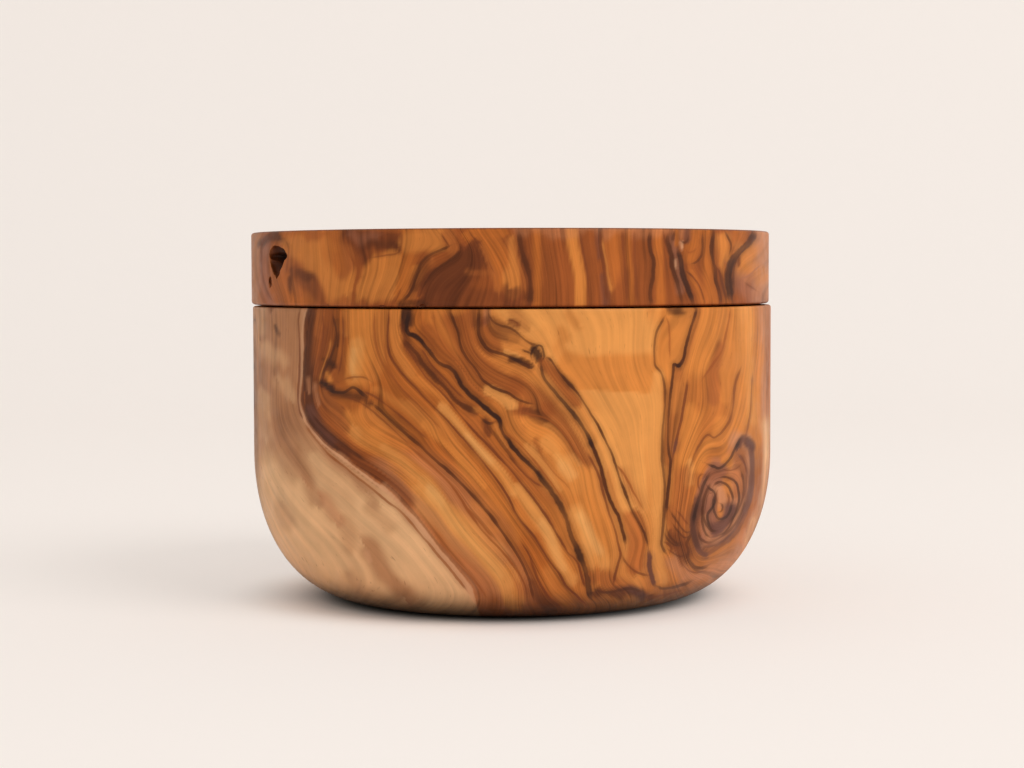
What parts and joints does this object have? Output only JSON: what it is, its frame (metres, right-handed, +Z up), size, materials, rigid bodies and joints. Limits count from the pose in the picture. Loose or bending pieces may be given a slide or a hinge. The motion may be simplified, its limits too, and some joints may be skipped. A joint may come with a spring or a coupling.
{
  "type": "salt keeper",
  "caption": "Round turned-wood salt keeper: a deep bowl with a rounded foot and a thick flat lid that swivels aside on a hidden pin and is held shut by magnets.",
  "frame": {"origin": "centre of the flat foot, on the surface that the keeper stands on, under the bowl's axis", "axes": "+Z up along the bowl's axis; -Y is the front, where the magnets are; the swivel pin is at +Y"},
  "size_m": [0.1102, 0.11, 0.0771],
  "materials": {
    "olive_wood_bowl": "oiled and polished, honey brown with dark veins and a pale sapwood patch",
    "olive_wood_lid": "oiled and polished, red brown with dark stripes",
    "pin_steel": "ground",
    "sleeve_brass": "turned",
    "ring_steel": "spring steel, oiled",
    "washer_nylon": "natural nylon",
    "magnet_plating": "nickel plated"
  },
  "bodies": {
    "bowl": {"bowl": "olive_wood_bowl", "pivot_pin": "pin_steel", "snap_ring": "ring_steel", "pivot_washer": "washer_nylon", "bowl_magnet": "magnet_plating"},
    "lid": {"lid": "olive_wood_lid", "pivot_sleeve": "sleeve_brass", "lid_magnet": "magnet_plating"}
  },
  "joints": [
    {"name": "lid_swivel", "type": "hinge", "parent": "bowl", "child": "lid", "pos_m": [0, 0.0495, 0.06175], "axis": [0, 0, 1], "continuous": true}
  ]
}
